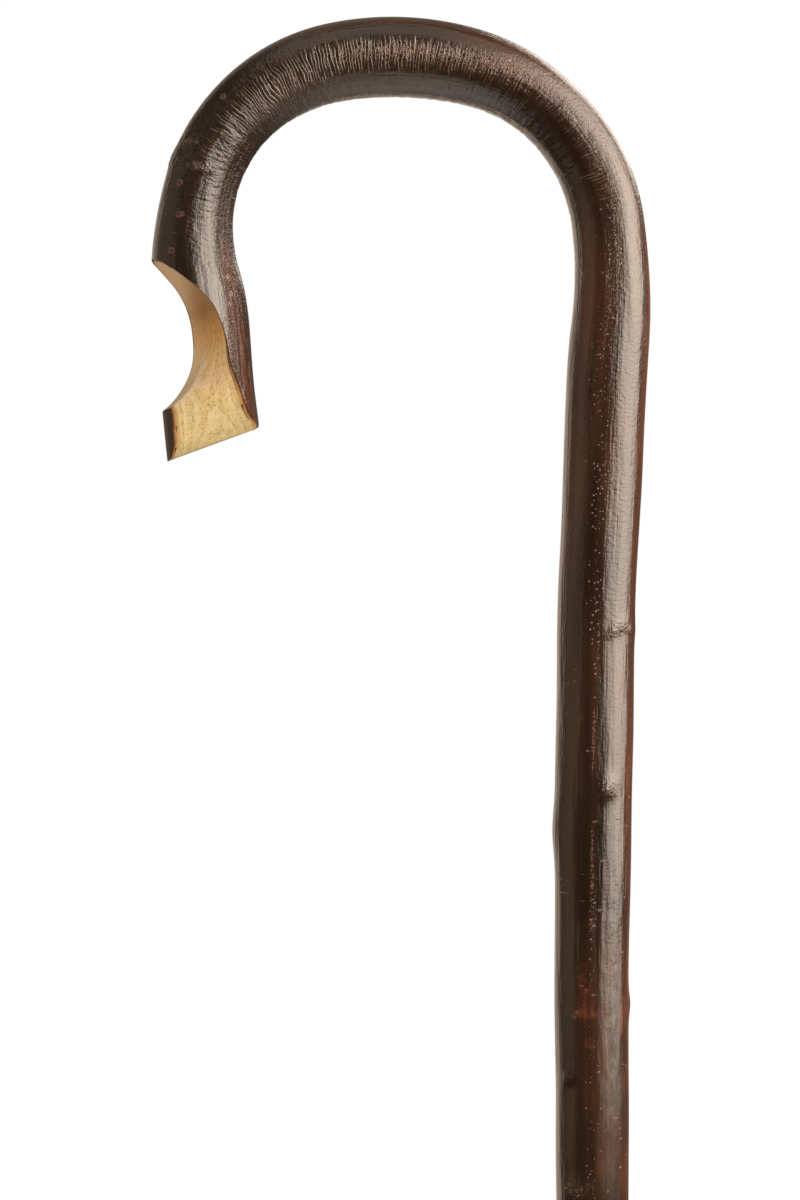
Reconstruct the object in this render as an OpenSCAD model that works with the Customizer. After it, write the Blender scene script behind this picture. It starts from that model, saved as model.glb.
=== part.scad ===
// Shepherd crook: one chestnut rod with its bark left on, steamed and bent into a wide hook.
// The origin is the centre of the foot's flat base, +Z runs up the shank, and the hook lies in
// the XZ plane with its nose towards -X. The rod is followed from the foot to the nose as a chain
// of straight stretches and bends, and the wood and the bark share that chain.

/* [Rod] */
// Radius over the bark at the foot of the rod
tip_r = 10.2; // [9:0.1:11]
// Radius over the bark along the plain round grip
grip_r = 12; // [11:0.1:12.8]
// Radius over the bark from the set-back to the nose
crook_r = 13.1; // [12:0.1:14]
// Thickness of the bark
bark_t = 1.2; // [0.8:0.1:1.6]

/* [Shank] */
// Length of the tapered lower shank, from the ferrule to the grip
lower_l = 612; // [400:1:800]
// Length of the plain round grip
grip_l = 120; // [80:1:160]
// Length of the taper from the grip to the set-back
upper_l = 210; // [180:1:300]
// Radius of the slight set-back bend, on the rod's centre line
set_back_bend_r = 480; // [300:1:700]
// Angle by which the shank sets back
set_back_a = 3.6; // [1:0.1:6]
// Length of the straight stretch from the set-back to the crook
neck_l = 77; // [50:1:120]

/* [Crook] */
// Radius of the first, easy bend into the crook
entry_bend_r = 190; // [120:1:260]
// Angle of the first bend
entry_a = 11.5; // [6:0.5:16]
// Radius of the bend at the shoulder
shoulder_bend_r = 64; // [50:1:80]
// Angle of the bend at the shoulder
shoulder_a = 67.5; // [60:0.5:72]
// Radius of the flatter bend over the top
top_bend_r = 103; // [80:1:130]
// Angle of the bend over the top
top_a = 25; // [20:0.5:30]
// Radius of the bend down the far side
far_bend_r = 58; // [48:1:75]
// Angle of the bend down the far side
far_a = 65; // [60:0.5:70]
// Radius of the last bend, above the nose
drop_bend_r = 81; // [60:1:110]
// Angle of the last bend
drop_a = 21; // [15:0.5:25]

/* [Nose] */
// Length over which the rod flares to the nose
flare_l = 14; // [8:1:18]
// Radius over the bark at the top of the nose
nose_top_r = 15.6; // [14:0.1:16]
// Radius over the bark at the end of the nose
nose_end_r = 16.2; // [16:0.1:18]
// Length of the nose below the flare, on its centre line
nose_l = 43.5; // [40:0.5:50]
// Slope of the cut across the end of the nose
end_a = 14; // [8:1:20]
// Radius of the scoop in the nose's outer side
scoop_r = 28; // [26:0.5:30]
// Distance of the scoop's centre from the start of the nose
scoop_s = 20.5; // [18:0.5:22]
// How far the scoop reaches past the nose's centre line
scoop_past = 2.5; // [0:0.1:4]
// Turn of the scoop towards the front
scoop_turn = 17; // [0:1:25]
// Slope of the two side facets of the nose
facet_a = 20; // [12:1:24]
// Half thickness that the side facets leave at the end of the nose
facet_end = 5.5; // [4:0.1:8]

/* [Knots] */
// How far the rod swells at a growth node
node_rise = 0.15; // [0.1:0.05:0.4]
// Width of the ring at a growth node
node_w = 4; // [3:0.5:6]
// Radius of a grown-over knot
knot_r = 7; // [5:0.1:9]
// How far a knot stands out of the bark
knot_rise = 0.9; // [0.4:0.1:1.5]
// Height above the grip of the knot on the nose side
knot_near_s = 148; // [135:1:165]
// Height above the grip of the knot on the front
knot_front_s = 164; // [135:1:170]
// Height above the grip of the knot on the back of the hook
knot_far_s = 90; // [30:1:120]

/* [Ferrule] */
// Length of rod end inside the cup
tenon_l = 36; // [32:1:50]
// Play between the rod end and the cup
cup_play = 0.1; // [0.05:0.05:0.2]
// Wall of the ferrule cup
cup_wall = 1; // [0.8:0.1:1.4]
// Thickness of the cup's base
cup_base_t = 2; // [1.5:0.1:3]
// Height of the rolled bead round the cup's mouth
bead_h = 2.4; // [1.6:0.1:3]
// How far the bead stands out of the cup
bead_rise = 0.5; // [0.3:0.1:0.8]
// Radius of the spike's shank
spike_shank_r = 2.2; // [1.6:0.1:3]
// Length of the spike's shank above the cup's base
spike_shank_l = 24; // [15:1:28]
// Radius of the spike's collar
collar_r = 5.2; // [4.5:0.1:6]
// Thickness of the spike's collar
collar_t = 3.5; // [2:0.1:5]
// Radius of the spike where it meets its collar
spike_r = 4.2; // [3:0.1:4.4]
// Length of the spike's point
spike_l = 12.5; // [8:0.1:16]
// Radius of the blunted tip of the spike
spike_tip_r = 0.7; // [0.4:0.1:1.2]
// Radius of a brad's shank
brad_r = 0.7; // [0.5:0.1:1]
// Length of a brad under its head
brad_l = 7.2; // [5:0.1:8]
// Radius of a brad's head
brad_head_r = 1.7; // [1.4:0.1:2]
// Thickness of a brad's head
brad_head_t = 0.6; // [0.4:0.1:0.9]
// Distance of the brads below the cup's mouth
brad_drop = 7; // [5.5:0.1:8]

/* [Rubber foot] */
// Thickness of the rubber under the washer
base_t = 6; // [4:0.1:10]
// Radius of the foot at the floor
foot_r = 16; // [15:0.1:20]
// Radius of the foot at its rim
rim_r = 13.4; // [12.8:0.1:15]
// Height of the upright band at the floor
band_h = 8; // [5:0.1:11]
// Height that the rubber reaches up the cup
grip_up = 22; // [15:0.5:24]
// Clearance between the rubber and the cup
foot_play = 0.05; // [0.02:0.01:0.1]
// Radius of the hollow round the spike
hollow_r = 6.8; // [6.4:0.1:8]
// Width of the tread grooves
groove_w = 1.6; // [1:0.1:2.4]
// Depth of the tread grooves
groove_d = 1.5; // [0.8:0.1:3]
// Radius at the middle of the inner tread groove
groove_in_r = 6.5; // [5:0.1:8]
// Radius at the middle of the outer tread groove
groove_out_r = 11.5; // [10.5:0.1:13]
// Thickness of the steel washer
washer_t = 1.5; // [1:0.1:2]
// Clearance round the washer
washer_play = 0.1; // [0.05:0.05:0.3]
// Room between the spike's tip and the washer
tip_gap = 0.3; // [0.2:0.1:0.8]

/* [Hidden] */
$fn = 64;
// Length by which a cutter runs past what it cuts
over = 1;

// Levels up the foot, from the floor
washer_z = base_t;
tip_z = washer_z + washer_t + tip_gap;
collar_z = tip_z + spike_l;
cup_z = collar_z + collar_t;
tenon_z = cup_z + cup_base_t;
rod_z = tenon_z + tenon_l;
rim_z = cup_z + grip_up;
brad_z = rod_z - brad_drop;

// Radii at the foot
tenon_r = tip_r - bark_t;
cup_in_r = tenon_r + cup_play;
cup_r = cup_in_r + cup_wall;
seat_r = cup_r + foot_play;
washer_r = hollow_r - washer_play;

// The last stretch runs on past the sloped end cut, at the same taper
nose_reach = nose_l + nose_end_r * tan(end_a) + over;
nose_reach_r = nose_top_r + (nose_end_r - nose_top_r) * nose_reach / nose_l;

// A straight stretch is [0, length, start radius, end radius]. A bend is [bend radius, angle,
// radius, radius], where a bend to the back of the hook has a negative bend radius and angle.
CHAIN = [
  [0, lower_l, tip_r, grip_r],
  [0, grip_l, grip_r, grip_r],
  [0, upper_l, grip_r, crook_r],
  [-set_back_bend_r, -set_back_a, crook_r, crook_r],
  [0, neck_l, crook_r, crook_r],
  [entry_bend_r, entry_a, crook_r, crook_r],
  [shoulder_bend_r, shoulder_a, crook_r, crook_r],
  [top_bend_r, top_a, crook_r, crook_r],
  [far_bend_r, far_a, crook_r, crook_r],
  [drop_bend_r, drop_a, crook_r, crook_r],
  [0, flare_l, crook_r, nose_top_r],
  [0, nose_reach, nose_top_r, nose_reach_r]
];
UPPER = 2;
SET_BACK = 3;
FLARE = 10;

// Where a stretch ends: [x, z, heading], with the heading counted from +X towards +Z
function after(p, s) = s[0] == 0
  ? [p[0] + s[1] * cos(p[2]), p[1] + s[1] * sin(p[2]), p[2]]
  : [
      p[0] + s[0] * (sin(p[2] + s[1]) - sin(p[2])),
      p[1] + s[0] * (cos(p[2]) - cos(p[2] + s[1])),
      p[2] + s[1]
    ];
function start(i) = i == 0 ? [0, rod_z, 90] : after(start(i - 1), CHAIN[i - 1]);

// Radius over the bark at a height up the taper above the grip
function upper_r(s) = grip_r + (crook_r - grip_r) * s / upper_l;

// Stands a child that is drawn along +Z at the start of stretch i, with +X away from the bend
module along(i) {
  p = start(i);
  translate([p[0], 0, p[1]]) rotate([0, 90 - p[2], 0]) children();
}

// One stretch of the rod, at a depth under the bark's surface
module stretch(i, depth) {
  s = CHAIN[i];
  along(i)
    if (s[0] == 0)
      cylinder(r1 = s[2] - depth, r2 = s[3] - depth, h = s[1]);
    else
      rotate([0, 0, s[0] < 0 ? 180 : 0])
        translate([-abs(s[0]), 0, 0]) rotate([90, 0, 0])
          rotate_extrude(angle = abs(s[1])) translate([abs(s[0]), 0]) circle(s[2] - depth);
}

// The whole rod at a depth, with the slight swelling of a growth node where its bends meet
module rod(depth) {
  for (i = [0:len(CHAIN) - 1]) stretch(i, depth);
  for (i = [SET_BACK:len(CHAIN) - 1]) along(i)
    cylinder(r = CHAIN[i][2] + node_rise - depth, h = node_w, center = true);
}

// Everything carved off the nose: the scoop, the sloped end and the two side facets
module nose_cuts() {
  end_s = flare_l + nose_l;
  span = 4 * nose_reach_r;
  along(FLARE) {
    rotate([0, 0, -scoop_turn]) translate([scoop_r - scoop_past, 0, scoop_s]) rotate([90, 0, 0])
      cylinder(r = scoop_r, h = span, center = true);
    translate([0, 0, end_s]) rotate([0, -end_a, 0]) {
      translate([-span / 2, -span / 2, 0]) cube(span);
      for (side = [-1, 1])
        translate([0, side * facet_end, 0]) rotate([side * facet_a, 0, 0])
          translate([-span / 2, side < 0 ? -span : 0, -2 * span]) cube([span, span, 3 * span]);
    }
  }
}

// A knot on the taper above the grip, at a height and a turn round the rod
module knot(s, turn) {
  along(UPPER) rotate([0, 0, turn]) translate([upper_r(s) + knot_rise - knot_r, 0, s]) sphere(knot_r);
}

// The bare wood of the rod, with its peeled end, the spike's hole and the brads' holes
module chestnut_rod() {
  color("burlywood") difference() {
    union() {
      translate([0, 0, tenon_z]) cylinder(r = tenon_r, h = tenon_l);
      rod(bark_t);
    }
    translate([0, 0, tenon_z - over]) cylinder(r = spike_shank_r, h = spike_shank_l - cup_base_t + over);
    brad_places() cylinder(r = brad_r, h = brad_l + over);
    nose_cuts();
  }
}

// The bark, from the ferrule's mouth to the carved nose
module bark() {
  color("saddlebrown") difference() {
    union() {
      rod(0);
      knot(knot_near_s, 180);
      knot(knot_front_s, -85);
      knot(knot_far_s, 0);
    }
    rod(bark_t);
    nose_cuts();
  }
}

// Stands a child at each brad, drawn along +Z from the brad's tip outwards
module brad_places() {
  for (turn = [90, 270])
    rotate([0, 0, turn]) translate([cup_r - brad_l, 0, brad_z]) rotate([0, 90, 0]) children();
}

// The pressed steel cup over the peeled end, with a bead round its mouth
module ferrule_cup() {
  color("silver") difference() {
    union() {
      translate([0, 0, cup_z]) cylinder(r = cup_r, h = cup_base_t + tenon_l);
      translate([0, 0, rod_z - bead_h]) cylinder(r = cup_r + bead_rise, h = bead_h);
    }
    translate([0, 0, tenon_z]) cylinder(r = cup_in_r, h = tenon_l + over);
    translate([0, 0, cup_z - over]) cylinder(r = spike_shank_r, h = cup_base_t + 2 * over);
    brad_places() cylinder(r = brad_r, h = brad_l + over);
  }
}

// The steel spike: its point, its collar under the cup and its shank up into the wood
module spike() {
  color("gray") {
    translate([0, 0, tip_z]) cylinder(r1 = spike_tip_r, r2 = spike_r, h = spike_l);
    translate([0, 0, collar_z]) cylinder(r = collar_r, h = collar_t);
    translate([0, 0, cup_z]) cylinder(r = spike_shank_r, h = spike_shank_l);
  }
}

// The two brads that hold the cup
module ferrule_brads() {
  color("gainsboro") brad_places() {
    cylinder(r = brad_r, h = brad_l);
    translate([0, 0, brad_l]) cylinder(r = brad_head_r, h = brad_head_t);
  }
}

// A tread groove in the underside of the foot
module groove(r) {
  translate([0, 0, -over])
    difference() {
      cylinder(r = r + groove_w / 2, h = groove_d + over);
      translate([0, 0, -over]) cylinder(r = r - groove_w / 2, h = groove_d + 3 * over);
    }
}

// The rubber foot that pushes on over the cup and covers the spike
module rubber_foot() {
  color("dimgray") difference() {
    union() {
      cylinder(r = foot_r, h = band_h);
      translate([0, 0, band_h]) cylinder(r1 = foot_r, r2 = rim_r, h = rim_z - band_h);
    }
    translate([0, 0, base_t]) cylinder(r = hollow_r, h = rim_z);
    translate([0, 0, cup_z]) cylinder(r = seat_r, h = rim_z);
    groove(groove_in_r);
    groove(groove_out_r);
  }
}

// The steel washer that keeps the spike from cutting through the rubber
module foot_washer() {
  color("lightsteelblue") translate([0, 0, washer_z]) cylinder(r = washer_r, h = washer_t);
}

chestnut_rod();
bark();
ferrule_cup();
spike();
ferrule_brads();
rubber_foot();
foot_washer();
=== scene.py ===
import math

import bpy
import numpy as np
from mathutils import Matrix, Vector, noise


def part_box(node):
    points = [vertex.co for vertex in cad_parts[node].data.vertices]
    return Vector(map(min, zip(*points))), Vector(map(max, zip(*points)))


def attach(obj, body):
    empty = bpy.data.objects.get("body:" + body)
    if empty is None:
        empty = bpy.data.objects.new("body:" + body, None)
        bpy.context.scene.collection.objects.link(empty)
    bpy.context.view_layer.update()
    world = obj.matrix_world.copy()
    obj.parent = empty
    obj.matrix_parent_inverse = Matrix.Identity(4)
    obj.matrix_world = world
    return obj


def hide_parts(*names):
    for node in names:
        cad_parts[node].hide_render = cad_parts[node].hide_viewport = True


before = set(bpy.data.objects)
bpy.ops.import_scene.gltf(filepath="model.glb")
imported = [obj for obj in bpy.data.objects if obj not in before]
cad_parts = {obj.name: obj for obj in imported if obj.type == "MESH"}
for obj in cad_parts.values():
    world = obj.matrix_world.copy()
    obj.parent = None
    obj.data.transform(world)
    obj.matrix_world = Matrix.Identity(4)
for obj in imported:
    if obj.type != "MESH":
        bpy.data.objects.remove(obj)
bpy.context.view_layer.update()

mm = 0.001
deg = math.pi / 180


# Chestnut rod
# One stick of sweet chestnut, cut with its bark on, steamed and bent over a former, then carved
# into a scooped nose. It is made here in the same way: straight, carved, and bent last of all.

rod_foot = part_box("bark")[0].z
bark_thick = 1.2 * mm
tenon_r = 9.0 * mm
tenon_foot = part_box("chestnut_rod")[0].z

# The rod from the ferrule up: a straight run is (0, its length), a bend is (its radius, its turn),
# and a bend to the back of the hook is negative.
runs = [
    (0, 942 * mm),
    (-480 * mm, -3.6 * deg),
    (0, 77 * mm),
    (190 * mm, 11.5 * deg),
    (64 * mm, 67.5 * deg),
    (103 * mm, 25 * deg),
    (58 * mm, 65 * deg),
    (81 * mm, 21 * deg),
    (0, 65 * mm),
]


def run_length(radius, amount):
    """How much of the straight stick goes into one run."""
    return abs(radius * amount) if radius else amount


def eased(along, table):
    """A value at a place, read along a smooth curve through (place, value) rows."""
    place, value = table[:, 0], table[:, 1]
    slope = np.gradient(value, place)
    row = np.clip(np.searchsorted(place, along) - 1, 0, len(place) - 2)
    gap = place[row + 1] - place[row]
    share = np.clip((along - place[row]) / gap, 0, 1)
    rest = 1 - share
    low = value[row] * (1 + 2 * share) + slope[row] * gap * share
    high = value[row + 1] * (1 + 2 * rest) - slope[row + 1] * gap * rest
    return low * rest**2 + high * share**2


# How far the grown stick wanders outwards from its line, at heights up the straight stick
wander = np.array([
    (800, 0), (857, -0.15), (890, -0.35), (925, 0.1), (960, 0.4), (1000, 1.05), (1022, 1.05), (1060, 0.75),
    (1085, 0.15), (1105, 0), (1125, 0.4), (1150, 1.0), (1185, 0.9), (1215, 0.5), (1245, 0.2), (1280, 0),
    (1430, 0)]) * mm


def bend(points):
    """Carries points of the straight stick, which stands along +Z, to the bent one."""
    bent = points.copy()
    out, along = points[:, 0] + eased(points[:, 2], wander), points[:, 2]
    x, z, heading, start = 0.0, rod_foot, math.pi / 2, rod_foot
    for radius, amount in runs:
        here = along >= start
        gone, off = along[here] - start, out[here]
        if radius:
            centre_x = x - radius * math.sin(heading)
            centre_z = z + radius * math.cos(heading)
            bent[here, 0] = centre_x + (radius + off) * np.sin(heading + gone / radius)
            bent[here, 2] = centre_z - (radius + off) * np.cos(heading + gone / radius)
            heading += amount
            x = centre_x + radius * math.sin(heading)
            z = centre_z - radius * math.cos(heading)
        else:
            bent[here, 0] = x + gone * math.cos(heading) + off * math.sin(heading)
            bent[here, 2] = z + gone * math.sin(heading) - off * math.cos(heading)
            x += amount * math.cos(heading)
            z += amount * math.sin(heading)
        start += run_length(radius, amount)
    return bent


# Where the stick's stretches lie on its straight length
nose_start = rod_foot + sum(run_length(*run) for run in runs[:-1])
crook_start = rod_foot + sum(run_length(*run) for run in runs[:4])
nose_length = 58.2 * mm
nose_end = nose_start + nose_length
end_slope = math.tan(14 * deg)

# Half thickness over the bark at heights up the straight stick, as the grown stick swells and thins
girth = np.array([
    (61.8, 10.2), (300, 10.9), (673.8, 12.0), (793.8, 12.0), (830, 12.4), (900, 12.65), (961, 13.15),
    (1001, 13.15), (1062, 13.4), (1108, 13.6), (1139, 12.5), (1163, 12.3), (1193, 11.9),
    (1217, 12.85), (1247, 13.6), (1280, 13.1), (1316, 12.55), (1347, 13.1), (1359, 14.4),
    (1374, 16.45), (1382, 16.65), (1390, 16.4), (1400, 16.1), (1422, 16.2),
]) * mm


def levels(*zones):
    """Heights of the rings up a stick, from (top of a zone, spacing there) pairs."""
    heights = [zones[0][0]]
    for top, spacing in zones[1:]:
        count = max(1, round((top - heights[-1]) / spacing))
        heights += list(np.linspace(heights[-1], top, count + 1)[1:])
    return np.array(heights)


def points_of(piece):
    """All the points of a piece's mesh, one row each."""
    flat = np.empty(3 * len(piece.data.vertices))
    piece.data.vertices.foreach_get("co", flat)
    return flat.reshape(-1, 3)


def set_points(piece, points):
    """Moves all the points of a piece's mesh."""
    piece.data.vertices.foreach_set("co", points.ravel())
    piece.data.update()


def edit_mode(on):
    """Opens the mesh of the piece in hand, or closes it."""
    bpy.ops.object.mode_set(mode="EDIT" if on else "OBJECT")


def pick_all():
    """In edit mode, selects the whole mesh."""
    bpy.ops.mesh.select_all(action="SELECT")


def rolled(name, heights, sides, shape):
    """A grid rolled up into a tube round +Z, open at both ends: shape gives the x, y and z of each
    point from its height and its share of a turn."""
    bpy.ops.object.select_all(action="DESELECT")
    bpy.ops.mesh.primitive_grid_add(x_subdivisions=sides, y_subdivisions=len(heights) - 1, size=2)
    piece = bpy.context.object
    piece.name = name
    flat = points_of(piece)
    turn = (flat[:, 0] + 1) / 2
    row = np.rint((flat[:, 1] + 1) / 2 * (len(heights) - 1)).astype(int)
    set_points(piece, shape(heights[row], turn))
    edit_mode(True)
    pick_all()
    bpy.ops.mesh.remove_doubles(threshold=1e-6)
    edit_mode(False)
    return piece


def pick_edge_loop(piece, at_top):
    """In edit mode, selects the open edges at the top or at the foot of a tube."""
    bpy.ops.mesh.select_mode(type="EDGE")
    bpy.ops.mesh.select_all(action="DESELECT")
    bpy.ops.mesh.select_non_manifold()
    edit_mode(False)
    points = points_of(piece)
    middle = (points[:, 2].min() + points[:, 2].max()) / 2
    for edge in piece.data.edges:
        if edge.select and (points[edge.vertices[0], 2] > middle) != at_top:
            edge.select = False
    edit_mode(True)


def face_outwards():
    """In edit mode, turns all the faces of a closed mesh outwards."""
    pick_all()
    bpy.ops.mesh.normals_make_consistent(inside=False)


def smooth_step(value):
    """Eases values in from 0 and out to 1."""
    value = np.clip(value, 0, 1)
    return value * value * (3 - 2 * value)


# Bending pressed flats on the stick, on either side of the hook: the way each faces in degrees round from
# the outer side, its share of the half thickness from the middle, and the heights that it runs between.
# They fade out at their ends, and their edges are blurred over a few angles.
flats = [(115, 0.94, 1297, 1500), (147, 0.866, 1297, 1500), (90, 0.94, 1118, 1172)]
flat_fade = 35 * mm
edge_blur = (-0.15, -0.05, 0.05, 0.15)


def stick_radius(height, angle):
    """Half thickness over the bark, at a height and an angle round the straight stick."""
    pressed = 0
    for aside in edge_blur:
        deepest = np.zeros(len(height))
        for facing, share, low, high in flats:
            off = np.clip(abs(angle) + aside - facing * deg, -1.4, 1.4)
            reach = smooth_step((height - low * mm) / flat_fade + 0.5)
            reach *= smooth_step((high * mm - height) / flat_fade + 0.5)
            deepest = np.maximum(deepest, reach * (1 - share / np.cos(off)))
        pressed += deepest / len(edge_blur)
    return eased(height, girth) * (1 - 0.95 * pressed)


def slope_end(points):
    """Draws the last 12 mm of a straight stick to the sloped cut across the end of the nose."""
    level = nose_end - 12 * mm
    past = points[:, 2] > level
    reach = nose_end + points[past, 0] * end_slope - level
    points[past, 2] = level + (points[past, 2] - level) * reach / (nose_end - level)
    return points


wood_sides = 96
wood_levels = levels(
    (rod_foot, 0), (crook_start, 12 * mm), (nose_start - 8 * mm, 2 * mm), (nose_end, 1 * mm))


def wood_shape(height, turn):
    """The rod's bare wood under its bark, straight."""
    angle = 2 * math.pi * (turn - 0.5)
    radius = stick_radius(height, angle) - bark_thick
    return slope_end(np.stack([radius * np.cos(angle), radius * np.sin(angle), height], axis=1))


wood = rolled("chestnut_wood", wood_levels, wood_sides, wood_shape)
edit_mode(True)
pick_edge_loop(wood, at_top=True)
bpy.ops.mesh.edge_face_add()
pick_edge_loop(wood, at_top=False)
bpy.ops.mesh.extrude_region_move()
peeled = tenon_r / (girth[0, 1] - bark_thick)
bpy.ops.transform.resize(value=(peeled, peeled, 1), center_override=(0, 0, rod_foot))
bpy.ops.mesh.extrude_region_move(TRANSFORM_OT_translate={"value": (0, 0, tenon_foot - rod_foot)})
bpy.ops.mesh.edge_face_add()
face_outwards()
edit_mode(False)

# What the carver takes off the nose, as a sleeve round it. At each place down the nose its inner
# outline runs along the back facet, across the scoop to a ridge, and over the front facet to the
# bark. The scoop is swept by a drum. Places are from the start of the nose down.
drum_r = 28.5 * mm
drum_place = 19.4 * mm
drum_out = 31.25 * mm
drum_back = 13 * mm
low_turn = 0.25
sleeve_half = 45 * mm
# Where the carving meets the bark in front, in degrees round the stick from its outer side
meeting = np.array([
    (-5.3, 18), (-4.1, 40), (-1.3, 63), (3.4, 84.5), (7.9, 99.5), (12.2, 111), (16.4, 117.5), (20.5, 122.5),
    (25, 126), (31.4, 129), (34.6, 132.5), (37.8, 138.5), (41.1, 145), (44.4, 149.5), (47.7, 154.5),
    (50.2, 161), (52.7, 170), (56, 176), (64, 178),
]) * (mm, deg)
# How far in front of the rod's middle the ridge lies
ridge = np.array([(18, 0), (26, 1.5), (31.7, 4), (35.7, 5.5), (40.7, 7.4), (46.4, 9.8), (61, 8.2)]) * mm
facet_bulge = 1.0 * mm
# How far behind the rod's middle the back facet lies
back_facet = np.array([(24, 16.5), (40, 12.5), (50, 9.5), (62, 6)]) * mm
round_over = 5 * mm
round_drop = 3.4 * mm
outline_parts = 28


def carved_outline(place):
    """The sleeve's outline at one place down the nose: points (outwards, frontwards)."""
    at = np.array([place])
    edge = drum_out - math.sqrt(max(drum_r**2 - (place - drum_place)**2, 0))
    angle = eased(at, meeting)[0]
    meets = stick_radius(nose_start + at, angle)[0] * np.array([math.cos(angle), math.sin(angle)])
    turn = (edge - meets[0]) / (drum_back + meets[1])
    turn += (low_turn - turn) * smooth_step((place - 18 * mm) / (12 * mm))
    share = np.linspace(0, 1, outline_parts)[:, None]

    def on_scoop(front):
        return np.array([edge - (drum_back + front) * turn, front])

    def straight_line(start, end):
        return start + (end - start) * share

    back_corner = on_scoop(-eased(at, back_facet)[0])
    crest = on_scoop(eased(at, ridge)[0])
    back = straight_line(np.array([-sleeve_half, back_corner[1]]), back_corner)
    across = straight_line(back_corner, crest)
    bulge = facet_bulge * smooth_step((place - 22 * mm) / (18 * mm)) + 0.25 * max(place - ridge[-2, 0], 0)
    side = np.array([meets[1] - crest[1], crest[0] - meets[0]])
    middle = (crest + meets) / 2 + 2 * bulge * side / np.linalg.norm(side)
    facet = (1 - share)**2 * crest + 2 * share * (1 - share) * middle + share**2 * meets
    # The ridge is rubbed soft
    carved = np.concatenate([across, facet[1:]])
    for rub in range(4):
        carved[1:-1] = (carved[:-2] + 2 * carved[1:-1] + carved[2:]) / 4
    onward = meets - middle
    onward[1] = max(onward[1], 0.15 * onward[0])
    to_inside = (sleeve_half + meets[0]) / max(-onward[0], 1e-6)
    to_front = (sleeve_half - meets[1]) / max(onward[1], 1e-6)
    beyond = straight_line(meets, meets + onward * min(to_inside, to_front) * 0.98)
    inner = np.concatenate([back, carved[1:], beyond[1:]])
    # The end of the nose is eased over on both facets
    to_end = nose_length + inner[:, 0] * end_slope - place
    ease = round_drop * np.clip(1 - to_end / round_over, 0, 1.2)**2
    number = np.arange(len(inner))
    inner[:, 1] += np.where(number < outline_parts, ease, 0)
    inner[:, 1] -= np.where(number > 2 * outline_parts - 2, ease, 0)
    corners = np.array([(-1, 1), (1, 1), (1, -1), (-1, -1)]) * sleeve_half
    return np.concatenate([inner, corners])


carve_places = np.linspace(meeting[0, 0], nose_length + 6 * mm, 110)
outline_count = len(carved_outline(20 * mm))


def sleeve_shape(height, turn):
    """The carver's sleeve, round the nose of the straight stick."""
    which = np.rint(turn * outline_count).astype(int) % outline_count
    outlines = {place: carved_outline(place - nose_start) for place in np.unique(height)}
    flat = np.array([outlines[place][number] for place, number in zip(height, which)])
    return np.stack([flat[:, 0], -flat[:, 1], height], axis=1)


sleeve = rolled("carved_off", nose_start + carve_places, outline_count, sleeve_shape)
edit_mode(True)
for at_top in (True, False):
    pick_edge_loop(sleeve, at_top)
    bpy.ops.mesh.edge_face_add()
face_outwards()
edit_mode(False)


def take_up(piece):
    """Makes a piece the only one that the tools work on."""
    bpy.ops.object.select_all(action="DESELECT")
    bpy.context.view_layer.objects.active = piece
    piece.select_set(True)


def cut(piece, cutter):
    """Takes a cutter away from a piece."""
    take_up(piece)
    away = piece.modifiers.new("cut", "BOOLEAN")
    away.operation = "DIFFERENCE"
    away.solver = "MANIFOLD"
    away.object = cutter
    bpy.ops.object.modifier_apply(modifier=away.name)


def keep_values(piece, name, values):
    """Keeps a number or a vector for each point of a piece, for its material to read."""
    kind, field = ("FLOAT", "value") if values.ndim == 1 else ("FLOAT_VECTOR", "vector")
    kept = piece.data.attributes.new(name, kind, "POINT")
    kept.data.foreach_set(field, values.astype(np.float32).ravel())


def bend_piece(piece, sharp_over):
    """Keeps each point's place on the straight stick as the grain, and bends the piece."""
    points = points_of(piece)
    keep_values(piece, "grain", points)
    set_points(piece, bend(points))
    take_up(piece)
    bpy.ops.object.shade_smooth_by_angle(angle=sharp_over)


cut(wood, sleeve)
straight = points_of(wood)
bark_at = stick_radius(straight[:, 2], np.arctan2(straight[:, 1], straight[:, 0])) - bark_thick
under_bark = bark_at - np.hypot(straight[:, 0], straight[:, 1])
keep_values(wood, "under_bark", under_bark / mm)
# A painted highlight along the ridge: within 1.8 mm of it, and only along its middle stretch
down_nose = straight[:, 2] - nose_start
ridge_front = eased(down_nose, ridge)
ridge_out = drum_out - np.sqrt(np.clip(drum_r**2 - (down_nose - drum_place)**2, 0, None))
ridge_out -= (drum_back + ridge_front) * low_turn
off_ridge = np.hypot(straight[:, 0] - ridge_out, straight[:, 1] + ridge_front) / (1.8 * mm)
keep_values(wood, "painted_ridge_highlight", np.exp(-off_ridge**2) * (under_bark > 0.4 * mm)
            * smooth_step((down_nose - 22 * mm) / (14 * mm)) * smooth_step((52 * mm - down_nose) / (5 * mm)))
bend_piece(wood, 28 * deg)


def colour(code):
    """A linear colour from an sRGB hex value."""
    parts = [int(code[i:i + 2], 16) / 255 for i in (1, 3, 5)]
    return [p / 12.92 if p <= 0.04045 else ((p + 0.055) / 1.055)**2.4 for p in parts] + [1.0]


def new_material(name, piece):
    """Gives a piece one more material: returns the material's tree and its one shader."""
    material = bpy.data.materials.new(name)
    material.use_nodes = True
    piece.data.materials.append(material)
    return material.node_tree, material.node_tree.nodes["Principled BSDF"]


def set_inputs(node, inputs):
    """Gives inputs of a node, by name or by number, each a value, a colour's hex or a linked output."""
    for name, value in inputs.items():
        if isinstance(value, bpy.types.NodeSocket):
            tree.links.new(value, node.inputs[name])
        else:
            node.inputs[name].default_value = colour(value) if isinstance(value, str) else value


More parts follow.
